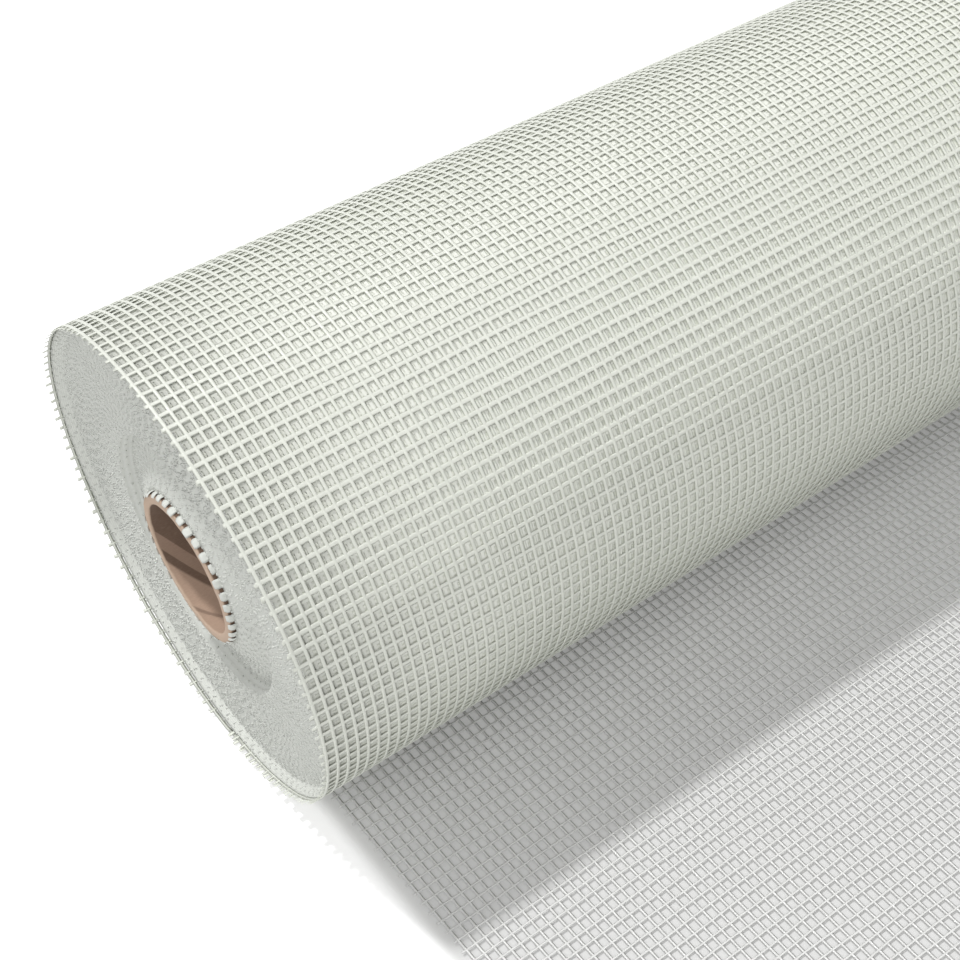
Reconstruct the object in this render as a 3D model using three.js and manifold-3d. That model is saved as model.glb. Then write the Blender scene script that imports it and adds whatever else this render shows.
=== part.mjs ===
// A roll of open glass-fibre mesh, wound on a cardboard core and lying on its side, with its
// loose end run out flat in front of it. Millimetres, +Z up, the roll's axis along X.
// The mesh is one unbroken web, so its turns and its loose end are one body. The web is the
// same width all along, so a turn that stands out at one end stands back as far at the other.

import * as THREE from 'three';
import { mergeVertices } from 'three/addons/utils/BufferGeometryUtils.js';
import Module from 'manifold-3d';

const WEB_WIDTH = 1000;        // across the web, from tip to tip of the cross yarns
const WEB_THICKNESS = 0.5;     // one turn of mesh
const ROLL_DIAMETER = 186;     // over the outermost turn
const CORE_BORE = 50.8;        // inside diameter of the cardboard tube
const CORE_WALL = 4;           // wall of the cardboard tube
const CORE_LENGTH = 1000;      // the tube is cut to the web's width
const CORE_GAP = 0.3;          // between the tube and the first turn
const CORE_SHIFT = -2.6;       // how far the tube has slid out of the roll's flat end
const TAIL_LENGTH = 300;       // loose end, from under the axis to the last cross yarn
const TAIL_DRIFT = 9.5;        // how far the loose end has run off sideways
const OPENING_COLUMNS = 12;    // plain openings across the loose end, in place of its fine cells
const OPENING_ROWS = 8;        // and along it, from the roll's front to the end
const OPENING_SHARE = 0.72;    // of each pitch that an opening takes
const LIP_TURNS = 2;           // outermost turns that stand out at one end
const LIP_SHIFT = -6;          // how far they stand out
const FIRST_TURN_SHIFT = -1;   // how far the turns against the tube stand out
const DISH_WIDTH = 21.3;       // radial width of the turns that have sunk in around the tube
const DISH_SHIFT = 4.8;        // how far the deepest of them have sunk in
const DISH_STEP = 1;           // radial width of the step back up to the flat end
const GROOVE_PITCH = 8;        // between the looser turns that show as rings on the ends
const GROOVE_WIDTH = 1;
const GROOVE_DEPTH = 0.8;
const SIDES = 72;              // facets around the roll

const ROLL_RADIUS = ROLL_DIAMETER / 2;
const CORE_RADIUS = CORE_BORE / 2 + CORE_WALL;
const WOUND_RADIUS = CORE_RADIUS + CORE_GAP;
const DISH_RADIUS = WOUND_RADIUS + DISH_WIDTH;
const LIP_RADIUS = ROLL_RADIUS - LIP_TURNS * WEB_THICKNESS;
// One facet lies flat on the ground, so the axis is that facet's distance above it.
const AXIS_HEIGHT = ROLL_RADIUS * Math.cos(Math.PI / SIDES);

const meshMaterial = new THREE.MeshStandardMaterial({ color: 0xd8ddd3, roughness: 0.55, metalness: 0 });
const cardboardMaterial = new THREE.MeshStandardMaterial({ color: 0x9c7d66, roughness: 0.9, metalness: 0 });

// How far the turns at each radius have shifted along the axis, from the tube outwards.
function turnShifts() {
  const across = (share) => WOUND_RADIUS + share * DISH_WIDTH;
  return [
    [WOUND_RADIUS, FIRST_TURN_SHIFT],
    [across(0.1), 0.6 * FIRST_TURN_SHIFT],
    [across(0.32), 0.32 * DISH_SHIFT],
    [across(0.64), 0.8 * DISH_SHIFT],
    [DISH_RADIUS - DISH_STEP, DISH_SHIFT],
    [DISH_RADIUS, 0],
  ];
}

// Radii of the grooves on the flat part of each end, at one pitch from the dish outwards.
function grooveRadii() {
  const radii = [];
  for (let r = DISH_RADIUS + GROOVE_PITCH; r < LIP_RADIUS - GROOVE_PITCH / 2; r += GROOVE_PITCH) radii.push(r);
  return radii;
}

// One end's outline from the bore to the outer surface. inward is +1 at the end that the
// shifts are measured from and -1 at the far end, where only the grooves turn round.
function endOutline(inward) {
  const end = inward > 0 ? 0 : WEB_WIDTH;
  const points = turnShifts().map(([r, shift]) => [r, end + shift]);
  for (const r of grooveRadii()) {
    points.push([r - GROOVE_WIDTH / 2, end]);
    points.push([r, end + inward * GROOVE_DEPTH]);
    points.push([r + GROOVE_WIDTH / 2, end]);
  }
  points.push([LIP_RADIUS, end], [LIP_RADIUS, end + LIP_SHIFT], [ROLL_RADIUS, end + LIP_SHIFT]);
  return points;
}

// Turns a closed outline of [radius, x] points about the X axis, with a facet underneath.
function turned(outline) {
  const points = [...outline, outline[0]].map(([r, x]) => new THREE.Vector2(r, x));
  const geometry = new THREE.LatheGeometry(points, SIDES, Math.PI / SIDES);
  geometry.rotateZ(-Math.PI / 2);
  geometry.translate(0, 0, AXIS_HEIGHT);
  return geometry;
}

// The same surface with only its positions and its shared corners merged.
function closed(geometry) {
  const plain = geometry.index ? geometry.toNonIndexed() : geometry;
  plain.deleteAttribute('normal');
  plain.deleteAttribute('uv');
  return mergeVertices(plain, 1e-4);
}

const wasm = await Module();
wasm.setup();

function toSolid(geometry) {
  const merged = closed(geometry);
  return new wasm.Manifold(new wasm.Mesh({
    numProp: 3,
    vertProperties: Float32Array.from(merged.attributes.position.array),
    triVerts: Uint32Array.from(merged.index.array),
  }));
}

function toGeometry(solid) {
  const mesh = solid.getMesh();
  const geometry = new THREE.BufferGeometry();
  geometry.setAttribute('position', new THREE.BufferAttribute(new Float32Array(mesh.vertProperties), 3));
  geometry.setIndex(new THREE.BufferAttribute(new Uint32Array(mesh.triVerts), 1));
  geometry.computeVertexNormals();
  return geometry;
}

// The outline runs up one end, along the outer surface, down the other end and back in the bore.
function woundTurns() {
  return turned([...endOutline(1), ...endOutline(-1).reverse()]);
}

// A flat block with its lower face on the ground, centred at x and y.
function flatBlock(x, y, width, length, thickness) {
  const block = new THREE.BoxGeometry(width, length, thickness);
  block.translate(x, y, WEB_THICKNESS / 2);
  return block;
}

// The loose end leaves the roll at its lowest line and lies flat, one turn thick. A single layer
// of mesh is open, so clear of the roll it has a coarse grid of openings in place of the cells.
function looseEnd() {
  const columnPitch = WEB_WIDTH / OPENING_COLUMNS;
  const rowPitch = (TAIL_LENGTH - ROLL_RADIUS) / OPENING_ROWS;
  let strip = toSolid(flatBlock(TAIL_DRIFT + WEB_WIDTH / 2, -TAIL_LENGTH / 2, WEB_WIDTH, TAIL_LENGTH, WEB_THICKNESS));
  for (let row = 0; row < OPENING_ROWS; row += 1) {
    for (let column = 0; column < OPENING_COLUMNS; column += 1) {
      const x = TAIL_DRIFT + (column + 0.5) * columnPitch;
      const y = -TAIL_LENGTH + (row + 0.5) * rowPitch;
      const width = OPENING_SHARE * columnPitch;
      const length = OPENING_SHARE * rowPitch;
      strip = strip.subtract(toSolid(flatBlock(x, y, width, length, 3 * WEB_THICKNESS)));
    }
  }
  return strip;
}

function coreTube() {
  const inner = CORE_BORE / 2;
  const far = CORE_SHIFT + CORE_LENGTH;
  return turned([[inner, CORE_SHIFT], [CORE_RADIUS, CORE_SHIFT], [CORE_RADIUS, far], [inner, far]]);
}

const meshRoll = new THREE.Mesh(toGeometry(toSolid(woundTurns()).add(looseEnd())), meshMaterial);
meshRoll.name = 'mesh_roll';

const cardboardCore = new THREE.Mesh(toGeometry(toSolid(coreTube())), cardboardMaterial);
cardboardCore.name = 'cardboard_core';

const part = new THREE.Group();
part.add(meshRoll, cardboardCore);

// The origin is the middle of the part's footprint, on the ground.
const box = new THREE.Box3().setFromObject(part, true);
part.position.set(-(box.min.x + box.max.x) / 2, -(box.min.y + box.max.y) / 2, -box.min.z);
part.updateMatrixWorld(true);

export default part;
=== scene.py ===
"""Looks of a roll of open glass-fibre mesh that lies on its side with its loose end run out.

The mesh is one web of yarns: warps run along it and round the roll, and cross yarns lie along the
roll's axis. The two outermost turns and the loose end are built yarn by yarn on the web's own
spiral; the turns beneath are one body whose finish shows the plies behind, and the cross yarns'
cut tips make the ends. Lengths in the classes are millimetres unless a name says otherwise.
"""

from __future__ import annotations

import logging
import math
from dataclasses import dataclass, field
from enum import Enum

import bpy
import numpy as np
from mathutils import Matrix, Vector


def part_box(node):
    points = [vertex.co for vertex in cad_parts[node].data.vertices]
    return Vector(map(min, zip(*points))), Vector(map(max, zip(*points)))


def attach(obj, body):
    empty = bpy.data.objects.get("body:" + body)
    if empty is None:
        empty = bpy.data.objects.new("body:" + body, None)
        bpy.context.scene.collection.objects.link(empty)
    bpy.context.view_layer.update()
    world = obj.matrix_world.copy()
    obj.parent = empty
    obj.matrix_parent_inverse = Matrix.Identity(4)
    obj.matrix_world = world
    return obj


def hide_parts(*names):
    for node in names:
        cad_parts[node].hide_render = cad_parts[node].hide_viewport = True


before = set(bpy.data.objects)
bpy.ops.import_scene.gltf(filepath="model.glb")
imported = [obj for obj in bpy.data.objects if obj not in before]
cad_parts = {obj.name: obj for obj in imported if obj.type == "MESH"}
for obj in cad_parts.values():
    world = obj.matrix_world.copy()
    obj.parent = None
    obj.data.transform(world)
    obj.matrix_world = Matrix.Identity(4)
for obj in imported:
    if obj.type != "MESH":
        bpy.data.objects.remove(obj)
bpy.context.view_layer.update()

MM = 0.001
LOG = logging.getLogger("mesh_roll")
Array = np.ndarray


class Half(Enum):
    """The half of the web's width that a piece holds."""

    NEAR = "near"
    FAR = "far"


# Mesh building


@dataclass
class Shell:
    """Arrays of one closed mesh before it goes into Blender.

    Attributes:
        points: (V, 3) corner places in millimetres.
        corners: flat list of point numbers, face after face.
        counts: number of corners of each face.
        uv: (corners, 2) map, in millimetres or as each builder says.
        tone: (V,) a number from 0 to 1 that differs from yarn to yarn.
    """

    points: Array
    corners: Array
    counts: Array
    uv: Array
    tone: Array

    @staticmethod
    def joined(shells: list["Shell"]) -> "Shell":
        """Several shells as one, with the point numbers moved along."""
        steps = np.cumsum([0] + [len(s.points) for s in shells[:-1]])
        return Shell(
            np.concatenate([s.points for s in shells]),
            np.concatenate([s.corners + n for s, n in zip(shells, steps)]),
            np.concatenate([s.counts for s in shells]),
            np.concatenate([s.uv for s in shells]),
            np.concatenate([s.tone for s in shells]),
        )


def add_piece(name: str, shell: Shell, materials: list[bpy.types.Material], faces: Array | None = None) -> bpy.types.Object:
    """Puts a shell into the scene as an object at the origin.

    Args:
        name: the object's name.
        shell: the mesh arrays.
        materials: one or more finishes.
        faces: material number of each face, where there are several.

    Returns:
        The new object.
    """
    mesh = bpy.data.meshes.new(name)
    mesh.vertices.add(len(shell.points))
    mesh.loops.add(len(shell.corners))
    mesh.polygons.add(len(shell.counts))
    mesh.vertices.foreach_set("co", (shell.points * MM).astype(np.float32).ravel())
    mesh.loops.foreach_set("vertex_index", shell.corners.astype(np.int32))
    starts = np.concatenate([[0], np.cumsum(shell.counts)[:-1]])
    mesh.polygons.foreach_set("loop_start", starts.astype(np.int32))
    mesh.update(calc_edges=True)
    mesh.polygons.foreach_set("use_smooth", np.ones(len(shell.counts), bool))
    layer = mesh.uv_layers.new(name="lay")
    layer.data.foreach_set("uv", (shell.uv * MM).astype(np.float32).ravel())
    tone = mesh.attributes.new("yarn_tone", "FLOAT", "POINT")
    tone.data.foreach_set("value", shell.tone.astype(np.float32))
    for material in materials:
        mesh.materials.append(material)
    if faces is not None:
        mesh.polygons.foreach_set("material_index", faces.astype(np.int32))
    mesh.validate()
    piece = bpy.data.objects.new(name, mesh)
    bpy.context.scene.collection.objects.link(piece)
    LOG.info("%s: %d triangles", name, int((shell.counts - 2).sum()))
    return piece


def sweep(paths: Array, outward: Array, section: Array, tone: Array, size: Array | None = None) -> Shell:
    """Carries a section along many paths at once and closes both ends of each.

    A corner is path + across * section_x + outward * section_y, where across is the path's
    direction crossed with outward.

    Args:
        paths: (K, N, 3) centre lines.
        outward: (K, N, 3) unit vectors square to the web.
        section: (M, 2) outline, counterclockwise, as (across, outward).
        tone: (K,) tone of each yarn.
        size: (K, N) scale of the section along each path.

    Returns:
        One closed tube for each path. The map is (way along in mm, way round in mm).
    """
    count, steps, _ = paths.shape
    sides = len(section)
    along = np.gradient(paths, axis=1)
    along /= np.linalg.norm(along, axis=2, keepdims=True)
    across = np.cross(along, outward)
    across /= np.linalg.norm(across, axis=2, keepdims=True)
    scale = np.ones((count, steps)) if size is None else size
    outline = section[None, None] * scale[..., None, None]
    points = paths[:, :, None] + across[:, :, None] * outline[..., :1] + outward[:, :, None] * outline[..., 1:]

    number = np.arange(count * steps * sides).reshape(count, steps, sides)
    ahead = np.roll(number, -1, axis=2)
    walls = np.stack([number[:, :-1], number[:, 1:], ahead[:, 1:], ahead[:, :-1]], -1)
    caps = np.stack([number[:, 0], number[:, -1, ::-1]], 1)

    way = np.zeros((count, steps))
    way[:, 1:] = np.cumsum(np.linalg.norm(np.diff(paths, axis=1), axis=2), axis=1)
    edge = np.linalg.norm(np.roll(section, -1, axis=0) - section, axis=1)
    start = np.concatenate([[0.0], np.cumsum(edge)[:-1]])
    wall_u = np.stack([way[:, :-1], way[:, 1:], way[:, 1:], way[:, :-1]], -1)[:, :, None]
    wall_v = np.stack([start, start, start + edge, start + edge], -1)[None, None]
    wall_uv = np.stack(np.broadcast_arrays(wall_u, wall_v), -1)
    cap_u = np.stack([way[:, 0], way[:, -1]], 1)[:, :, None]
    cap_uv = np.stack(np.broadcast_arrays(cap_u, start[None, None]), -1)

    return Shell(
        points.reshape(-1, 3),
        np.concatenate([walls.ravel(), caps.ravel()]),
        np.concatenate([np.full(walls[..., 0].size, 4), np.full(count * 2, sides)]),
        np.concatenate([wall_uv.reshape(-1, 2), cap_uv.reshape(-1, 2)]),
        np.repeat(tone, steps * sides),
    )


def ring_outline(width: float, height: float, sides: int) -> Array:
    """An oval of a yarn's width and height with that many corners, counterclockwise, widest at the middle."""
    angle = np.arange(sides) * 2 * np.pi / sides
    return np.stack([np.cos(angle) * width / 2, np.sin(angle) * height / 2], 1)


@dataclass(frozen=True)
class Wander:
    """Smooth wandering made of a few sine waves with fixed random phases.

    Attributes:
        amount: largest usual deviation.
        wavelength: distance over which it comes and goes.
        seed: which of the random draws it uses.
    """

    amount: float
    wavelength: float
    seed: int

    def at(self, way: Array, lane: Array) -> Array:
        """The sum of six sine waves in way, each with a slow turn of phase from lane to lane."""
        rng = np.random.default_rng(self.seed)
        total = np.zeros(np.broadcast(way, lane).shape)
        for turn in rng.uniform(0.6, 1.7, 6):
            phase, drift = rng.uniform(0, 2 * np.pi), rng.normal(0, 1.0)
            total = total + np.sin(2 * np.pi * turn * way / self.wavelength + phase + drift * lane)
        return self.amount * total / 2.4


# The web's own shape


@dataclass
class Winding:
    """Where the web runs: flat on the ground, then round the roll in a spiral.

    Way is measured along the web: 0 under the axis, negative on the loose end, positive round
    the back, over the top and down the front of the outermost turn, and on inwards.
    """

    width: float = 1000.0
    ply: float = 0.5
    first_radius: float = 92.66
    wound_radius: float = 29.7
    tail_length: float = 300.0
    tail_drift: float = 9.5
    tail_rise: float = 0.9
    lip_shift: float = -6.0
    lip_turns: int = 2
    first_turn_shift: float = -1.0
    dish_width: float = 21.3
    dish_shift: float = 4.8
    dish_step: float = 1.0
    flare_width: float = 3.0
    flare_shift: float = -3.6
    axis_y: float = field(init=False)
    axis_z: float = field(init=False)
    flat_end_x: float = field(init=False)

    def __post_init__(self) -> None:
        """Takes the roll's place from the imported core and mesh."""
        low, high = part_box("cardboard_core")
        self.axis_y = (low.y + high.y) / 2 / MM
        self.axis_z = (low.z + high.z) / 2 / MM
        self.flat_end_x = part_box("mesh_roll")[0].x / MM - self.lip_shift

    @property
    def turn(self) -> float:
        """Length of the outermost turn."""
        return 2 * np.pi * self.first_radius

    def angle(self, way: Array) -> Array:
        """Angle round the axis from the lowest line: way = radius * a - ply * a^2 / (4 pi), solved for a."""
        wound = np.maximum(way, 0.0)
        return (self.first_radius - np.sqrt(np.maximum(self.first_radius**2 - wound * self.ply / np.pi, 0))) * 2 * np.pi / self.ply

    def radius(self, way: Array) -> Array:
        """Spiral radius: the first radius less one ply a turn."""
        return self.first_radius - self.ply * self.angle(way) / (2 * np.pi)

    def way_at(self, turns: float) -> float:
        """Way along the web after that many whole turns."""
        angle = 2 * np.pi * turns
        return self.first_radius * angle - self.ply * angle**2 / (4 * np.pi)

    def drift(self, way: Array) -> Array:
        """Sideways shift of the web: the loose end's, easing to the outer turns' by the top of the roll."""
        share = np.clip(way / (self.turn / 2), 0, 1)
        ease = share * share * (3 - 2 * share)
        return self.tail_drift + (self.lip_shift - self.tail_drift) * ease

    def end_shift(self, radius: Array) -> Array:
        """Shift of the wound turns along the axis at each radius, as steps between the dish's named places."""
        dish = self.wound_radius + self.dish_width
        at = self.wound_radius + np.array([0, 0.1, 0.32, 0.64]) * self.dish_width
        rim = self.first_radius - self.lip_turns * self.ply
        places = np.concatenate([at, [dish - self.dish_step, dish, rim - self.flare_width, rim]])
        first, deep = self.first_turn_shift, self.dish_shift
        shifts = np.array([first, 0.6 * first, 0.32 * deep, 0.8 * deep, deep, 0.0, 0.0, self.flare_shift])
        return np.interp(radius, places, shifts)

    def place(self, way: Array, across: Array, lift: Array | float = 0.0) -> Array:
        """Puts web places into the part's frame.

        On the roll a point is (x, axis_y + (r + lift) sin a, axis_z - (r + lift) cos a); on the
        loose end it is (x, axis_y + way, ground - lift), so outward is down there.

        Args:
            way: way along the web.
            across: place across the web from the roll's flat end.
            lift: height over the web on its outer side.

        Returns:
            (..., 3) points in millimetres.
        """
        way, across, lift = np.broadcast_arrays(way, across, lift)
        angle, radius = self.angle(way), self.radius(way) + lift
        flat = np.minimum(way, 0.0)
        y = self.axis_y + radius * np.sin(angle) + flat
        z = self.axis_z - radius * np.cos(angle) + self.rise(flat, across)
        return np.stack([self.flat_end_x + across, y, z], -1)

    def rise(self, flat: Array, across: Array) -> Array:
        """Height of the loose end off the ground: low waves along and across it that start at the roll."""
        waves = 0.5 + 0.3 * np.sin(flat / 26.0 + across / 140.0) + 0.2 * np.sin(across / 63.0 - flat / 41.0)
        return self.tail_rise * waves * np.clip(-flat / 60.0, 0, 1)

    def outward(self, way: Array) -> Array:
        """Unit vectors square to the web on its outer side: (0, sin a, -cos a)."""
        angle = self.angle(way)
        return np.stack([np.zeros_like(angle), np.sin(angle), -np.cos(angle)], -1)


@dataclass
class Weave:
    """The mesh's yarns: their spacing, sizes and small irregularities."""

    warp_pitch: float = 4.0
    weft_pitch: float = 5.0
    edge: float = 2.0
    warp_width: float = 1.5
    warp_height: float = 0.32
    weft_width: float = 1.6
    weft_height: float = 0.3
    tail_warp_width: float = 1.2
    tail_weft_width: float = 0.9
    fray: float = 0.4
    warp_sway: Wander = Wander(0.22, 260.0, 3)
    weft_sway: Wander = Wander(0.25, 90.0, 5)
    weft_bow: Wander = Wander(2.6, 1500.0, 8)
    warp_creep: Wander = Wander(1.1, 700.0, 12)
    weft_slip: float = 3.9

    def ply_slip(self, angle: Array, lane: Array) -> Array:
        """Sideways slip of the second turn under the first: half a pitch down the front, none at the top or the near end."""
        front = np.clip((angle - math.radians(192)) / math.radians(40), 0, 1)
        inner = np.clip((lane - 25.0) / 90.0, 0, 1)
        return self.warp_pitch / 2 * (front * front * (3 - 2 * front)) * (inner * inner * (3 - 2 * inner))

    def warp_lanes(self, width: float) -> Array:
        """Places of the warps across the web: evenly spaced between the two selvedge margins."""
        count = round((width - 2 * self.edge) / self.warp_pitch) + 1
        return np.linspace(self.edge, width - self.edge, count)

    def warp_offset(self, way: Array, lane: Array) -> Array:
        """Sideways wandering of a warp, from its own sway and the whole web's creep."""
        return self.warp_sway.at(way, lane * 0.05) + self.warp_creep.at(way, lane * 0.0022)

    def weft_offset(self, way: Array, across: Array) -> Array:
        """Wandering of a cross yarn along the web, from its own sway and the whole web's bow."""
        return self.weft_sway.at(across, way * 0.2) + self.weft_bow.at(across, way * 0.0003)


# Finishes


class Graph:
    """A small helper that adds nodes to a material or group and links them."""

    def __init__(self, tree: bpy.types.NodeTree) -> None:
        """Keeps the tree."""
        self.tree = tree

    def node(self, kind: str, **settings: object) -> bpy.types.Node:
        """A new node of the kind with its properties set."""
        node = self.tree.nodes.new(kind)
        for name, value in settings.items():
            setattr(node, name, value)
        return node

    def feed(self, socket: bpy.types.NodeSocket, source: object) -> None:
        """Sets a socket to a value, or links it to another socket."""
        if isinstance(source, bpy.types.NodeSocket):
            self.tree.links.new(source, socket)
        else:
            socket.default_value = source

    def math(self, operation: str, *terms: object, clamp: bool = False) -> bpy.types.NodeSocket:
        """A Math node's result."""
        node = self.node("ShaderNodeMath", operation=operation, use_clamp=clamp)
        for socket, term in zip(node.inputs, terms):
            self.feed(socket, term)
        return node.outputs[0]

    def ramp(self, value: object, low: float, high: float, to_low: float = 0.0, to_high: float = 1.0) -> bpy.types.NodeSocket:
        """A smooth step of value between low and high."""
        node = self.node("ShaderNodeMapRange", interpolation_type="SMOOTHSTEP")
        for name, term in (("Value", value), ("From Min", low), ("From Max", high), ("To Min", to_low), ("To Max", to_high)):
            self.feed(node.inputs[name], term)
        return node.outputs["Result"]

    def noise(self, vector: object, scale: float, detail: float = 2.0, rough: float = 0.5) -> bpy.types.NodeSocket:
        """A Noise Texture's value."""
        node = self.node("ShaderNodeTexNoise")
        self.feed(node.inputs["Vector"], vector)
        for name, term in (("Scale", scale), ("Detail", detail), ("Roughness", rough)):
            node.inputs[name].default_value = term
        return node.outputs["Fac"]

    def vector(self, x: object, y: object, z: object = 0.0) -> bpy.types.NodeSocket:
        """Three numbers as one vector."""
        node = self.node("ShaderNodeCombineXYZ")
        for socket, term in zip(node.inputs, (x, y, z)):
            self.feed(socket, term)
        return node.outputs[0]

    def mix(self, share: object, first: object, second: object) -> bpy.types.NodeSocket:
        """A colour between two colours."""
        node = self.node("ShaderNodeMix", data_type="RGBA")
        for socket, term in ((node.inputs[0], share), (node.inputs[6], first), (node.inputs[7], second)):
            self.feed(socket, (*term, 1.0) if isinstance(term, tuple) and len(term) == 3 else term)
        return node.outputs[2]

    def bump(self, height: object, distance: float, strength: float, normal: object = None) -> bpy.types.NodeSocket:
        """A Bump node's normal, with the distance in metres."""
        node = self.node("ShaderNodeBump")
        self.feed(node.inputs["Height"], height)
        node.inputs["Distance"].default_value = distance
        node.inputs["Strength"].default_value = strength
        if normal is not None:
            self.feed(node.inputs["Normal"], normal)
        return node.outputs["Normal"]

    def group(self, tree: bpy.types.NodeTree, **inputs: object) -> bpy.types.Node:
        """A group placed in this tree with its inputs fed by name, underscores standing for spaces."""
        node = self.node("ShaderNodeGroup", node_tree=tree)
        for name, term in inputs.items():
            self.feed(node.inputs[name.replace("_", " ")], term)
        return node


def new_group(name: str, inputs: dict[str, float], outputs: list[str]) -> tuple[Graph, dict[str, bpy.types.NodeSocket], bpy.types.Node]:
    """A new shader node group with named number sockets.

    Args:
        name: the group's name.
        inputs: its inputs with their default values.
        outputs: the names of its outputs.

    Returns:
        Its graph, its inputs inside the group by name, and the output node.
    """
    tree = bpy.data.node_groups.new(name, "ShaderNodeTree")
    for title, value in inputs.items():
        socket = tree.interface.new_socket(name=title, in_out="INPUT", socket_type="NodeSocketFloat")
        socket.default_value = value
    for title in outputs:
        tree.interface.new_socket(name=title, in_out="OUTPUT", socket_type="NodeSocketFloat")
    graph = Graph(tree)
    entry = graph.node("NodeGroupInput")
    return graph, {s.name: s for s in entry.outputs if s.name}, graph.node("NodeGroupOutput")


@dataclass(frozen=True)
class YarnLay:
    """Node group: the fibres along a yarn, its lumps of coating and its fat places at crossings, which also mark where
    a highlight is painted.
    """

    name: str = "yarn_lay"

    def build(self) -> bpy.types.NodeTree:
        """Fibres are noise stretched along the yarn; knots are a smooth hump at every crossing pitch."""
        graph, given, out = new_group(
            self.name,
            {"Along": 0.0, "Round": 0.0, "Tone": 0.5, "Crossing Pitch": 0.005, "First Crossing": 0.0},
            ["Fibres", "Coating", "Knots And Glints"],
        )
        long_way = graph.math("MULTIPLY", given["Along"], 260.0)
        round_way = graph.math("MULTIPLY", given["Round"], 9000.0)
        seed = graph.math("MULTIPLY", given["Tone"], 50.0)
        fibres = graph.noise(graph.vector(long_way, round_way, seed), 1.0, 3.0, 0.6)
        coating = graph.noise(graph.vector(graph.math("MULTIPLY", given["Along"], 700.0), seed, 0.0), 1.0, 2.0, 0.5)
        cell = graph.math("DIVIDE", graph.math("SUBTRACT", given["Along"], given["First Crossing"]), given["Crossing Pitch"])
        off = graph.math("ABSOLUTE", graph.math("SUBTRACT", cell, graph.math("ROUND", cell)))
        graph.feed(out.inputs["Fibres"], fibres)
        graph.feed(out.inputs["Coating"], coating)
        graph.feed(out.inputs["Knots And Glints"], graph.ramp(off, 0.3, 0.08))
        return graph.tree


@dataclass(frozen=True)
class PlyPattern:
    """Node group: where the yarns of one deeper ply lie, worked out from the web's own map."""

    name: str = "ply_pattern"

    def build(self) -> bpy.types.NodeTree:
        """A yarn covers a place when the distance to the nearest pitch line is under half its width."""
        graph, given, out = new_group(
            self.name,
            {"Across": 0.0, "Along": 0.0, "Warp Pitch": 0.004, "Weft Pitch": 0.005, "Warp Share": 0.15, "Weft Share": 0.1},
            ["Yarn", "Height"],
        )

        def lines(way: str, pitch: str, share: str) -> bpy.types.NodeSocket:
            cell = graph.math("DIVIDE", given[way], given[pitch])
            off = graph.math("ABSOLUTE", graph.math("SUBTRACT", cell, graph.math("ROUND", cell)))
            return graph.ramp(graph.math("SUBTRACT", off, given[share]), 0.035, -0.035)

        yarn = graph.math("MAXIMUM", lines("Across", "Warp Pitch", "Warp Share"), lines("Along", "Weft Pitch", "Weft Share"))
        graph.feed(out.inputs["Yarn"], yarn)
        graph.feed(out.inputs["Height"], yarn)
        return graph.tree


@dataclass(frozen=True)
class YarnFinish:
    """Coated glass yarn: pale, faintly green, with fibres, tone from yarn to yarn, and crossings lightened partly by
    thicker coating and partly as a painted highlight.
    """

    name: str
    pale: tuple[float, float, float] = (0.835, 0.855, 0.78)
    dull: tuple[float, float, float] = (0.76, 0.78, 0.705)
    crossing_pitch: float = 0.005
    roughness: float = 0.36

    def build(self, lay: bpy.types.NodeTree) -> bpy.types.Material:
        """The material, with its yarn lay group placed in it."""
        material = bpy.data.materials.new(self.name)
        material.use_nodes = True
        graph = Graph(material.node_tree)
        shader = material.node_tree.nodes["Principled BSDF"]
        uv = graph.node("ShaderNodeSeparateXYZ")
        graph.feed(uv.inputs[0], graph.node("ShaderNodeUVMap", uv_map="lay").outputs[0])
        tone = graph.node("ShaderNodeAttribute", attribute_name="yarn_tone").outputs["Fac"]
        group = graph.group(lay, Along=uv.outputs[0], Round=uv.outputs[1], Tone=tone, Crossing_Pitch=self.crossing_pitch)
        shade = graph.math("MULTIPLY", group.outputs["Fibres"], 0.55)
        shade = graph.math("ADD", shade, graph.math("MULTIPLY", tone, 0.3))
        # Lightening at the crossings: partly a thicker coating, partly a painted highlight where the yarns glint.
        shade = graph.math("ADD", shade, graph.math("MULTIPLY", group.outputs["Knots And Glints"], 0.25), clamp=True)
        graph.feed(shader.inputs["Base Color"], graph.mix(shade, self.dull, self.pale))
        rough = graph.ramp(group.outputs["Coating"], 0.3, 0.75, self.roughness + 0.12, self.roughness - 0.1)
        graph.feed(shader.inputs["Roughness"], rough)
        height = graph.math("ADD", graph.math("MULTIPLY", group.outputs["Fibres"], 0.5), group.outputs["Knots And Glints"])
        graph.feed(shader.inputs["Normal"], graph.bump(height, 0.0001, 0.6))
        shader.inputs["IOR"].default_value = 1.5
        return material


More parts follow.
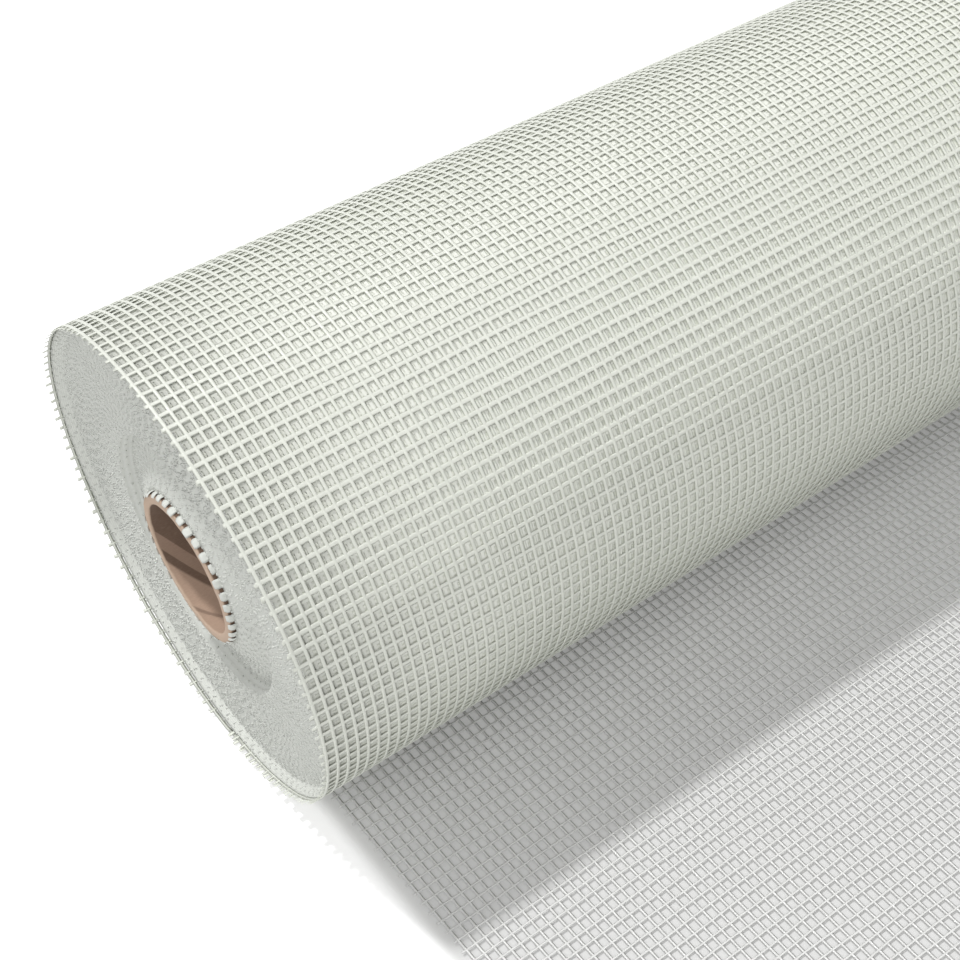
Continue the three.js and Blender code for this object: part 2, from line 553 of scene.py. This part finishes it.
@dataclass(frozen=True)
class DeepPliesFinish:
    """The turns under the built ones, seen through the open cells: three plies, each darker the deeper it lies, over
    the darkest holes, as painted shade.
    """

    name: str
    hole: tuple[float, float, float] = (0.73, 0.755, 0.66)
    low: tuple[float, float, float] = (0.79, 0.81, 0.72)
    middle: tuple[float, float, float] = (0.84, 0.855, 0.775)
    top: tuple[float, float, float] = (0.87, 0.885, 0.815)

    def build(self, pattern: bpy.types.NodeTree) -> bpy.types.Material:
        """The material: each ply's pattern is laid over the one below with its own shift and slant."""
        material = bpy.data.materials.new(self.name)
        material.use_nodes = True
        graph = Graph(material.node_tree)
        shader = material.node_tree.nodes["Principled BSDF"]
        uv = graph.node("ShaderNodeSeparateXYZ")
        graph.feed(uv.inputs[0], graph.node("ShaderNodeUVMap", uv_map="lay").outputs[0])
        across, along = uv.outputs[0], uv.outputs[1]
        colour: object = self.hole
        height: object = 0.0
        # The colours step down from top to hole: painted shade that deepens into the roll.
        plies = ((self.low, 0.0021, 0.0036, 0.0045), (self.middle, 0.0012, 0.0012, -0.006), (self.top, 0.0004, 0.0027, 0.003))
        for shade, shift_across, shift_along, slant in plies:
            sway = graph.math("MULTIPLY", graph.noise(graph.vector(across, along, shift_along * 900), 5.0), 0.004)
            place = graph.math("ADD", graph.math("ADD", across, shift_across), sway)
            way = graph.math("ADD", graph.math("ADD", along, shift_along), graph.math("MULTIPLY", across, slant))
            ply = graph.group(pattern, Across=place, Along=way)
            colour = graph.mix(ply.outputs["Yarn"], colour, shade)
            height = graph.math("MAXIMUM", graph.math("MULTIPLY", height, 0.6), ply.outputs["Height"])
        graph.feed(shader.inputs["Base Color"], colour)
        graph.feed(shader.inputs["Roughness"], graph.ramp(height, 0.0, 1.0, 0.8, 0.6))
        graph.feed(shader.inputs["Normal"], graph.bump(height, 0.0004, 0.7))
        return material


@dataclass(frozen=True)
class WoundEdgeFinish:
    """The ends of the wound turns between the yarn tips: fine rings, one a turn, with fuzz, darker between the rings as
    painted shade in the gaps between turns.
    """

    name: str
    pale: tuple[float, float, float] = (0.71, 0.725, 0.685)
    dark: tuple[float, float, float] = (0.64, 0.655, 0.61)

    def build(self) -> bpy.types.Material:
        """The material: rings from the radius and angle in the map, broken up by noise."""
        material = bpy.data.materials.new(self.name)
        material.use_nodes = True
        graph = Graph(material.node_tree)
        shader = material.node_tree.nodes["Principled BSDF"]
        uv = graph.node("ShaderNodeSeparateXYZ")
        graph.feed(uv.inputs[0], graph.node("ShaderNodeUVMap", uv_map="lay").outputs[0])
        place = graph.node("ShaderNodeTexCoord").outputs["Object"]
        fuzz = graph.noise(place, 900.0, 3.0, 0.65)
        turns = graph.math("ADD", graph.math("DIVIDE", uv.outputs[0], 0.0005), graph.math("MULTIPLY", fuzz, 0.8))
        # Dark between the rings is painted shade in the gaps between turns.
        ring = graph.ramp(graph.math("ABSOLUTE", graph.math("SUBTRACT", turns, graph.math("ROUND", turns))), 0.45, 0.1)
        shade = graph.math("MULTIPLY", ring, graph.ramp(fuzz, 0.25, 0.7, 0.4, 1.0))
        graph.feed(shader.inputs["Base Color"], graph.mix(shade, self.dark, self.pale))
        shader.inputs["Roughness"].default_value = 0.75
        graph.feed(shader.inputs["Normal"], graph.bump(shade, 0.0002, 0.4))
        return material


@dataclass(frozen=True)
class KraftFinish:
    """Spiral-wound kraft cardboard: brown paper with fibres, a helical seam, layered cut ends, and bands along the
    helix painted light and dark for the lit and shaded parts of the bore.
    """

    name: str
    # light and dark span the paper's grain as well as the painted light and painted shade of the bands.
    light: tuple[float, float, float] = (0.50, 0.35, 0.26)
    dark: tuple[float, float, float] = (0.15, 0.095, 0.065)
    cut: tuple[float, float, float] = (0.55, 0.41, 0.31)
    middle_x: float = 0.0
    half_length: float = 0.5
    cut_depth: float = 0.0009
    seam_lead: float = 0.095

    def build(self) -> bpy.types.Material:
        """The material: the seam follows way along plus turns round, from the tube's own map."""
        material = bpy.data.materials.new(self.name)
        material.use_nodes = True
        graph = Graph(material.node_tree)
        shader = material.node_tree.nodes["Principled BSDF"]
        uv = graph.node("ShaderNodeSeparateXYZ")
        graph.feed(uv.inputs[0], graph.node("ShaderNodeUVMap", uv_map="lay").outputs[0])
        place = graph.node("ShaderNodeTexCoord").outputs["Object"]
        fibre = graph.noise(graph.vector(graph.math("MULTIPLY", uv.outputs[0], 500.0), graph.math("MULTIPLY", uv.outputs[1], 2600.0)), 1.0, 4.0, 0.6)
        blotch = graph.noise(place, 28.0, 3.0, 0.55)
        turns = graph.math("ADD", graph.math("DIVIDE", uv.outputs[0], self.seam_lead), graph.math("DIVIDE", uv.outputs[1], 0.16))
        off = graph.math("ABSOLUTE", graph.math("SUBTRACT", turns, graph.math("ROUND", turns)))
        seam = graph.ramp(off, 0.012, 0.004)
        # Bands along the helix: from 0.85 round to 0.12 of a turn is painted light where the key shines onto the bore's
        # lower wall, 0.165 to 0.21 is a lighter patch, and the rest is left dark as painted shade in the upper bore.
        part_turn = graph.math("FRACT", turns)
        painted_light_band = graph.ramp(part_turn, 0.135, 0.12)
        for low, high, tint in ((0.165, 0.21, 0.55), (0.85, 1.1, 0.95)):
            inside = graph.math("MULTIPLY", graph.ramp(part_turn, low - 0.006, low), graph.ramp(part_turn, high + 0.006, high))
            painted_light_band = graph.math("MAXIMUM", painted_light_band, graph.math("MULTIPLY", inside, tint))
        grain = graph.math("ADD", graph.math("MULTIPLY", fibre, 0.4), graph.math("MULTIPLY", blotch, 0.4))
        shade = graph.math("ADD", grain, graph.math("SUBTRACT", graph.math("MULTIPLY", painted_light_band, 0.8), 0.4), clamp=True)
        colour = graph.mix(shade, self.dark, self.light)
        colour = graph.mix(graph.math("MULTIPLY", seam, 0.45), colour, (0.09, 0.055, 0.035))
        split = graph.node("ShaderNodeSeparateXYZ")
        graph.feed(split.inputs[0], place)
        off_middle = graph.math("ABSOLUTE", graph.math("SUBTRACT", split.outputs[0], self.middle_x))
        worn = graph.math("MULTIPLY", graph.noise(place, 400.0, 3.0), 0.0008)
        cut = graph.ramp(graph.math("ADD", off_middle, worn), self.half_length - self.cut_depth + 0.0004, self.half_length + 0.0002)
        graph.feed(shader.inputs["Base Color"], graph.mix(cut, colour, self.cut))
        graph.feed(shader.inputs["Roughness"], graph.ramp(fibre, 0.2, 0.8, 0.92, 0.78))
        height = graph.math("SUBTRACT", graph.math("MULTIPLY", fibre, 0.4), seam)
        graph.feed(shader.inputs["Normal"], graph.bump(height, 0.0003, 0.7))
        return material


# The pieces


@dataclass
class YarnMesh:
    """The part of the web that is built yarn by yarn: two outer turns and the loose end."""

    winding: Winding
    weave: Weave
    finish: bpy.types.Material
    tail_finish: bpy.types.Material
    rng: np.random.Generator

    def _warps(
        self, way: Array, lanes: Array, outline: Array, lift: Array | float, name: str, slip: Array | float = 0.0
    ) -> bpy.types.Object:
        """Warps along a stretch of the web, each a closed tube on its own wandering lane, moved sideways by slip."""
        own = way % self.winding.turn if way[-1] > 0 else way
        across = lanes[:, None] + self.winding.drift(way)[None] + self.weave.warp_offset(own[None], lanes[:, None]) + slip
        ways = np.broadcast_to(way, across.shape)
        paths = self.winding.place(ways, across, lift)
        shell = sweep(paths, self.winding.outward(ways), outline, self.rng.uniform(0, 1, len(lanes)))
        return add_piece(name, shell, [self.finish if way[-1] > 0 else self.tail_finish])

    def _wefts(self, ways: Array, stops: Array, outline: Array, lift: float, name: str) -> bpy.types.Object:
        """Cross yarns from edge to edge, with their ends standing past the last warps."""
        share = np.broadcast_to(stops, (len(ways), len(stops)))
        fray = self.rng.uniform(-self.weave.fray, self.weave.fray, (len(ways), 2))
        across = share * self.winding.width
        across = across + np.where(share == 0, fray[:, :1] + 0.1, 0) + np.where(share == 1, fray[:, 1:] - 0.1, 0)
        way = ways[:, None] + self.weave.weft_offset(ways[:, None], across)
        across = across + self.winding.drift(way)
        paths = self.winding.place(way, across, lift)
        size = np.where((share == 0) | (share == 1), 0.95, 1.0)
        shell = sweep(paths, self.winding.outward(way), outline, self.rng.uniform(0, 1, len(ways)), size)
        return add_piece(name, shell, [self.finish if ways[-1] > 0 else self.tail_finish])

    def _stops(self, steps: int) -> Array:
        """Stops along a cross yarn as shares of the width, with one close to each end."""
        inner = np.linspace(0, 1, steps + 1)[1:-1]
        return np.concatenate([[0.0, 0.0012], inner, [0.9988, 1.0]])

    def outer_turn(self) -> list[bpy.types.Object]:
        """The turn that shows: full yarns, split in two halves across the web."""
        weave, winding = self.weave, self.winding
        ways = np.arange(0.0, winding.way_at(1.0) + weave.weft_pitch, weave.weft_pitch)
        lanes = weave.warp_lanes(winding.width)
        middle = len(lanes) // 2
        half_w, half_h = weave.warp_width / 2, weave.warp_height / 2
        outline = np.array([[half_w, -half_h], [0.5 * half_w, half_h], [-0.5 * half_w, half_h], [-half_w, -half_h]])
        halves = {Half.NEAR: lanes[:middle], Half.FAR: lanes[middle:]}
        pieces = [self._warps(ways, part, outline, 0.08, f"outer_turn_warps_{half.value}") for half, part in halves.items()]
        wefts = self._wefts(ways[1:-1], self._stops(48), ring_outline(weave.weft_width, weave.weft_height, 6), -0.02, "outer_turn_wefts")
        return pieces + [wefts]

    def second_turn(self) -> list[bpy.types.Object]:
        """The turn beneath, simpler, which shows through the cells and makes their changing pattern."""
        weave, winding = self.weave, self.winding
        first, last = winding.way_at(1.0), winding.way_at(2.0)
        ways = np.linspace(first, last, 97)
        half_w, half_h = weave.warp_width / 2, weave.warp_height / 2
        outline = np.array([[half_w, -half_h], [0.0, half_h], [-half_w, -half_h]])
        lanes = weave.warp_lanes(winding.width)
        slip = weave.ply_slip(winding.angle(ways)[None] - 2 * np.pi, lanes[:, None])
        warps = self._warps(ways, lanes, outline, 0.08, "second_turn_warps", slip)
        numbers = np.arange(math.ceil(first / weave.weft_pitch) + 1, math.floor(last / weave.weft_pitch))
        outline = ring_outline(weave.weft_width, weave.weft_height, 4)
        wefts = self._wefts(numbers * weave.weft_pitch + weave.weft_slip, self._stops(12), outline, 0.0, "second_turn_wefts")
        return [warps, wefts]

    def loose_end(self) -> list[bpy.types.Object]:
        """The single layer on the ground, its warps dipping between crossings."""
        weave, winding = self.weave, self.winding
        ways = np.arange(-winding.tail_length + 2.5, 0.1, weave.weft_pitch / 2)
        ways = np.concatenate([[-winding.tail_length], ways])
        lanes = weave.warp_lanes(winding.width)
        middle = len(lanes) // 2
        crossing = np.cos(2 * np.pi * (ways - ways[1]) / weave.weft_pitch)
        lift = np.where(ways < 0, 0.07 * crossing, 0.08)
        outline = ring_outline(weave.tail_warp_width, weave.warp_height, 4)
        halves = {Half.NEAR: lanes[:middle], Half.FAR: lanes[middle:]}
        pieces = [self._warps(ways, part, outline, lift, f"loose_end_warps_{half.value}") for half, part in halves.items()]
        wefts = np.arange(-winding.tail_length + 2.5, -0.1, weave.weft_pitch)
        outline = ring_outline(weave.tail_weft_width, weave.weft_height, 6)
        pieces.append(self._wefts(wefts, self._stops(120), outline, -0.08, "loose_end_wefts"))
        return pieces


@dataclass
class WoundBody:
    """The turns under the two built ones as one closed body, and the cut yarn tips on its ends."""

    winding: Winding
    weave: Weave
    side_finish: bpy.types.Material
    edge_finish: bpy.types.Material
    tip_finish: bpy.types.Material
    rng: np.random.Generator
    tip_length: float = 0.45
    tooth_width: float = 3.6
    bedding: float = 0.15
    bore_radius: float = 29.65
    sides: int = 144

    def body(self) -> bpy.types.Object:
        """A profile of (radius, x) points turned about the axis, with the ends a tip's length in."""
        winding = self.winding
        outer = winding.radius(np.array(winding.way_at(winding.lip_turns))) + self.bedding
        flare = winding.first_radius - winding.lip_turns * winding.ply - winding.flare_width
        dish = np.array([self.bore_radius, 31.8, 36.5, 43.3, 50.0, 51.0])
        radii = np.concatenate([dish, np.linspace(55, flare, 5), np.linspace(flare + 0.6, float(outer), 4)])
        shift = winding.end_shift(radii)
        near = np.stack([radii, shift + self.tip_length], 1)
        far = np.stack([radii, winding.width + shift - self.tip_length], 1)[::-1]
        lengthwise = np.linspace(near[-1, 1], far[0, 1], 12)[1:-1]
        side = np.stack([np.full_like(lengthwise, float(outer)), lengthwise], 1)
        profile = np.concatenate([near, side, far])
        zone = np.concatenate([np.ones(len(near) - 1), np.zeros(len(side) + 1), np.ones(len(far) - 1), [1]])
        return self._turned("inner_turns", profile, zone)

    def _turned(self, name: str, profile: Array, zone: Array) -> bpy.types.Object:
        """Turns a closed profile: a point is (x, axis_y + r sin a, axis_z - r cos a).

        Args:
            name: the piece's name.
            profile: (N, 2) radius and x from the roll's flat end, up the near end and down the far one.
            zone: 0 for the outer side and 1 for the ends and bore, for each stretch of the profile.

        Returns:
            The piece. The map is (x, way round) on the side and (radius and turns, way round) on the ends.
        """
        winding, count = self.winding, len(profile)
        angle = np.linspace(0, 2 * np.pi, self.sides, endpoint=False)
        r, x = profile[:, 0], winding.flat_end_x + profile[:, 1]
        points = np.stack(
            [
                np.broadcast_to(x, (self.sides, count)),
                winding.axis_y + r[None] * np.sin(angle)[:, None],
                winding.axis_z - r[None] * np.cos(angle)[:, None],
            ],
            -1,
        )
        number = np.arange(self.sides * count).reshape(self.sides, count)
        on, ahead = np.roll(number, -1, axis=0), np.roll(number, -1, axis=1)
        quads = np.stack([number, on, np.roll(on, -1, axis=1), ahead], -1)
        step = 2 * np.pi / self.sides
        a0, a1 = np.broadcast_arrays(angle[:, None], r[None])[0], np.broadcast_arrays(angle[:, None] + step, r[None])[0]
        r1, x1 = np.roll(r, -1), np.roll(profile[:, 1], -1)
        side = zone == 0
        outer = profile[:, 0].max()
        u = [np.where(side, q, w + winding.ply * a / (2 * np.pi)) for q, w, a in ((profile[:, 1], r, a0), (profile[:, 1], r, a1), (x1, r1, a1), (x1, r1, a0))]
        v = [np.where(side, a * outer, a * 60.0) for a in (a0, a1, a1, a0)]
        uv = np.stack([np.stack(u, -1), np.stack(v, -1)], -1)
        shell = Shell(points.reshape(-1, 3), quads.ravel(), np.full(self.sides * count, 4), uv.reshape(-1, 2), np.zeros(points.size // 3))
        return add_piece(name, shell, [self.side_finish, self.edge_finish], np.tile(zone, self.sides))

    def tips(self, end: Half) -> bpy.types.Object:
        """The cross yarns' ends at one end of the roll: small three-sided pegs in a spiral.

        Each peg stands on the wound edge at its own way along the web, and its tip leans a little.
        """
        winding, weave = self.winding, self.weave
        inner = self.winding.first_radius - self.winding.wound_radius
        last = winding.way_at((inner - 0.3) / winding.ply)
        ways = np.arange(math.ceil(winding.way_at(float(winding.lip_turns)) / weave.weft_pitch), last / weave.weft_pitch) * weave.weft_pitch
        count = len(ways)
        sign = 1.0 if end is Half.NEAR else -1.0
        start = 0.0 if end is Half.NEAR else winding.width
        radius = winding.radius(ways)
        tip_x = start + winding.end_shift(radius) + sign * self.rng.normal(0.05, 0.11, count)
        base_x = start + winding.end_shift(radius) + sign * (self.tip_length + 0.4)
        sway = ways + weave.weft_offset(ways, np.full(count, start))
        lean = self.rng.normal(0, 0.15, count)
        paths = np.stack([winding.place(sway, base_x), winding.place(sway + lean, tip_x, self.rng.normal(0, 0.06, count))], 1)
        outward = winding.outward(np.stack([sway, sway + lean], 1))
        size = np.stack([np.ones(count), np.full(count, 0.8)], 1) * self.rng.uniform(0.9, 1.1, (count, 1))
        shell = sweep(paths, outward, ring_outline(1.3, 0.5, 3), self.rng.uniform(0, 1, count), size)
        return add_piece(f"{end.value}_end_weft_tips", shell, [self.tip_finish])

    def teeth(self, end: Half) -> bpy.types.Object:
        """The innermost turn's cross yarns, pressed flat on the tube: wide teeth that stand out past the others.

        At the near end they bend in over the tube's worn edge, which stands out past the turns.
        """
        winding = self.winding
        radius = winding.wound_radius + 0.12
        count = round(2 * np.pi * radius / self.weave.weft_pitch)
        angle = (np.arange(count) + self.rng.uniform(-0.06, 0.06, count)) * 2 * np.pi / count
        if end is Half.NEAR:
            x, inward = np.array([2.0, -1.4, -2.2, -2.8]), np.array([0.0, 0.0, 0.4, 1.1])
        else:
            x, inward = winding.width + np.array([-2.0, -0.6, 0.0, 0.3]), np.zeros(4)
        x = x + self.rng.normal(0, 0.22, (count, 1)) * np.array([0.0, 0.0, 1.0, 1.0])
        spokes = np.stack([np.zeros(count), np.sin(angle), -np.cos(angle)], -1)[:, None]
        axis = np.array([winding.flat_end_x, winding.axis_y, winding.axis_z])
        paths = axis + spokes * (radius - inward)[:, None] + x[..., None] * np.array([1.0, 0.0, 0.0])
        size = np.tile([1.0, 1.0, 1.0, 0.8], (count, 1))
        outline = ring_outline(self.tooth_width, 0.34, 6)
        shell = sweep(paths, np.broadcast_to(spokes, paths.shape), outline, self.rng.uniform(0, 1, count), size)
        return add_piece(f"{end.value}_end_teeth", shell, [self.tip_finish])


@dataclass
class CoreTube:
    """The cardboard tube: a wall of wound paper with softened, slightly furry cut ends."""

    winding: Winding
    finish: bpy.types.Material
    inner: float = 25.4
    outer: float = 29.4
    soft: float = 0.35
    worn: float = 1.0
    sides: int = 120

    def build(self) -> bpy.types.Object:
        """The wall's outline turned about the axis: the bore's edge eased by soft, the outer one rounded by worn."""
        low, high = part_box("cardboard_core")
        near, far = low.x / MM, high.x / MM
        inner, outer, soft = self.inner, self.outer, self.soft
        corner = np.linspace(0, np.pi / 2, 6)
        face = np.concatenate([np.linspace(inner + soft, outer - self.worn, 4)[:-1], outer - self.worn * (1 - np.sin(corner))])
        depth = np.concatenate([np.zeros(3), self.worn * (1 - np.cos(corner))])
        near_face = np.stack([face, near + depth], 1)
        far_face = np.stack([face, far - depth], 1)[::-1]
        inside = np.stack([np.full(11, inner), np.linspace(far - soft, near + soft, 11)], 1)
        outside = np.stack([np.full(3, outer), np.linspace(near, far, 5)[1:-1]], 1)
        profile = np.concatenate([near_face, outside, far_face, inside])
        angle = np.linspace(0, 2 * np.pi, self.sides, endpoint=False)
        r, x = profile.T
        count = len(profile)
        ragged = 0.08 * np.sin(7 * angle + 1.3) + 0.05 * np.sin(17 * angle)
        end_only = np.where((r > inner) & (r < outer), 1.0, 0.0)
        xs = x[None] + np.where(x < 0, 1, -1)[None] * end_only[None] * np.abs(ragged)[:, None]
        points = np.stack(
            [
                xs,
                self.winding.axis_y + r[None] * np.sin(angle)[:, None],
                self.winding.axis_z - r[None] * np.cos(angle)[:, None],
            ],
            -1,
        )
        number = np.arange(self.sides * count).reshape(self.sides, count)
        on, ahead = np.roll(number, -1, axis=0), np.roll(number, -1, axis=1)
        quads = np.stack([number, on, np.roll(on, -1, axis=1), ahead], -1)
        step = 2 * np.pi / self.sides
        a0 = np.broadcast_to(angle[:, None], (self.sides, count))
        reach = x + r
        reach1 = np.roll(reach, -1)
        u = np.stack([np.broadcast_to(reach, a0.shape), np.broadcast_to(reach, a0.shape), np.broadcast_to(reach1, a0.shape), np.broadcast_to(reach1, a0.shape)], -1)
        v = np.stack([a0, a0 + step, a0 + step, a0], -1) * inner
        shell = Shell(points.reshape(-1, 3), quads.ravel(), np.full(quads[..., 0].size, 4), np.stack([u, v], -1).reshape(-1, 2), np.zeros(points.size // 3))
        return add_piece("core_tube", shell, [self.finish])


# The studio


@dataclass(frozen=True)
class Studio:
    """A pale floor lifted by painted light, a soft key from above and behind, and a white surround."""

    winding: Winding
    focal_px: float = 1630.05
    image_px: float = 960.0
    eye: tuple[float, float, float] = (-115.09, -409.97, 491.56)
    yaw: float = 0.6094
    pitch: float = 0.7803
    roll: float = -0.0726
    centre_px: tuple[float, float] = (100.0, 63.9)
    near_paper: tuple[float, float, float] = (0.55, 0.55, 0.545)
    near_painted_light: tuple[float, float, float] = (0.19, 0.19, 0.188)
    far_paper: tuple[float, float, float] = (0.85, 0.85, 0.85)
    far_painted_light: tuple[float, float, float] = (0.4, 0.4, 0.4)
    paper_fade: float = 0.008
    key_strength: float = 1.7
    front_strength: float = 0.75
    surround: float = 0.48

    def camera(self) -> bpy.types.Object:
        """The photograph's view: yaw from +Y towards +X, pitch down, roll, and the lens from the cells."""
        data = bpy.data.cameras.new("camera")
        data.sensor_width = 36.0
        data.lens = self.focal_px / self.image_px * 36.0
        data.shift_x = -self.centre_px[0] / self.image_px
        data.shift_y = self.centre_px[1] / self.image_px
        data.clip_start, data.clip_end = 0.01, 50.0
        ahead = Vector((math.sin(self.yaw) * math.cos(self.pitch), math.cos(self.yaw) * math.cos(self.pitch), -math.sin(self.pitch)))
        right = Vector((math.cos(self.yaw), -math.sin(self.yaw), 0.0))
        up = right.cross(ahead)
        turned_right = math.cos(self.roll) * right + math.sin(self.roll) * up
        turned_up = -math.sin(self.roll) * right + math.cos(self.roll) * up
        place = Vector(
            (
                (self.eye[0] + self.winding.flat_end_x + self.winding.lip_shift) * MM,
                (self.eye[1] + self.winding.axis_y) * MM,
                self.eye[2] * MM,
            )
        )
        camera = bpy.data.objects.new("camera", data)
        rows = Matrix((turned_right, turned_up, -ahead)).transposed().to_4x4()
        camera.matrix_world = Matrix.Translation(place) @ rows
        bpy.context.scene.collection.objects.link(camera)
        bpy.context.scene.camera = camera
        return camera

    def floor(self) -> bpy.types.Object:
        """A wide flat floor just under the part."""
        half = 6.0
        mesh = bpy.data.meshes.new("floor")
        level = -0.0004
        mesh.from_pydata([(-half, -half, level), (half, -half, level), (half, half, level), (-half, half, level)], [], [(0, 1, 2, 3)])
        material = bpy.data.materials.new("floor_paper")
        material.use_nodes = True
        graph = Graph(material.node_tree)
        shader = material.node_tree.nodes["Principled BSDF"]
        place = graph.node("ShaderNodeSeparateXYZ")
        graph.feed(place.inputs[0], graph.node("ShaderNodeTexCoord").outputs["Object"])
        winding = self.winding
        left, front = winding.flat_end_x + winding.tail_drift, winding.axis_y - winding.tail_length
        out = 0.0
        for axis, start, size in ((0, left, winding.width), (1, front, winding.tail_length)):
            away = graph.math("ABSOLUTE", graph.math("SUBTRACT", place.outputs[axis], (start + size / 2) * MM))
            past = graph.math("MAXIMUM", graph.math("SUBTRACT", away, size / 2 * MM), 0.0)
            out = graph.math("ADD", out, graph.math("POWER", past, 2.0))
        far = graph.ramp(graph.math("SQRT", out), 0.0, self.paper_fade)
        graph.feed(shader.inputs["Base Color"], graph.mix(far, self.near_paper, self.far_paper))
        # The glow, seen only by the camera, is painted light: it lifts the shade under the loose end and washes the
        # roll's shadows out of the white floor around it.
        graph.feed(shader.inputs["Emission Color"], graph.mix(far, self.near_painted_light, self.far_painted_light))
        seen = graph.node("ShaderNodeLightPath").outputs["Is Camera Ray"]
        graph.feed(shader.inputs["Emission Strength"], seen)
        shader.inputs["Roughness"].default_value = 0.9
        shader.inputs["Specular IOR Level"].default_value = 0.1
        mesh.materials.append(material)
        floor = bpy.data.objects.new("floor", mesh)
        bpy.context.scene.collection.objects.link(floor)
        return floor

    def lights(self) -> None:
        """A key high behind the roll, a wide one from the viewer's left shoulder, and a white world."""
        world = bpy.data.worlds.new("surround")
        world.use_nodes = True
        graph = Graph(world.node_tree)
        back = world.node_tree.nodes["Background"]
        back.inputs["Color"].default_value = (1.0, 1.0, 1.0, 1.0)
        seen = graph.node("ShaderNodeLightPath").outputs["Is Camera Ray"]
        graph.feed(back.inputs["Strength"], graph.ramp(seen, 0.0, 1.0, self.surround, 1.0))
        bpy.context.scene.world = world
        for name, strength, width, toward in (
            ("key", self.key_strength, 4.0, (0.12, -0.36, -1.0)),
            ("front", self.front_strength, 40.0, (0.52, 0.50, -0.69)),
        ):
            data = bpy.data.lights.new(name, "SUN")
            data.energy = strength
            data.angle = math.radians(width)
            light = bpy.data.objects.new(name, data)
            light.rotation_euler = Vector(toward).to_track_quat("-Z", "Y").to_euler()
            bpy.context.scene.collection.objects.link(light)

    def build(self) -> None:
        """Camera, floor, lights and a plain colour transform."""
        self.camera()
        self.floor()
        self.lights()
        bpy.context.scene.view_settings.view_transform = "Standard"


def dress(piece: bpy.types.Object, node: str) -> None:
    """Makes a piece ride on the part and stand for a CAD node."""
    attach(piece, "root")
    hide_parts(node)


def main() -> None:
    """Builds the finishes and the pieces in order, reports each and sets up the studio."""
    logging.basicConfig(level=logging.INFO, format="%(name)s: %(message)s")
    lay, pattern = YarnLay().build(), PlyPattern().build()
    yarn = YarnFinish("coated_yarn").build(lay)
    tail_yarn = YarnFinish("coated_yarn_inner_side", pale=(0.80, 0.80, 0.79), dull=(0.73, 0.73, 0.715), roughness=0.28).build(lay)
    tip_yarn = YarnFinish("cut_yarn_tips", pale=(0.72, 0.735, 0.695), dull=(0.68, 0.695, 0.655), roughness=0.6).build(lay)
    deep = DeepPliesFinish("plies_behind").build(pattern)
    edge = WoundEdgeFinish("wound_edges").build()
    low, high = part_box("cardboard_core")
    kraft = KraftFinish("kraft_cardboard", middle_x=(low.x + high.x) / 2, half_length=(high.x - low.x) / 2).build()

    winding, weave = Winding(), Weave()
    rng = np.random.default_rng(41)
    yarns = YarnMesh(winding, weave, yarn, tail_yarn, rng)
    wound = WoundBody(winding, weave, deep, edge, tip_yarn, rng)
    pieces = [*yarns.outer_turn(), *yarns.second_turn(), *yarns.loose_end(), wound.body()]
    for end in Half:
        pieces += [wound.tips(end), wound.teeth(end)]
    for piece in pieces:
        dress(piece, "mesh_roll")
    dress(CoreTube(winding, kraft).build(), "cardboard_core")

    Studio(winding).build()


if __name__ == "__main__":
    main()
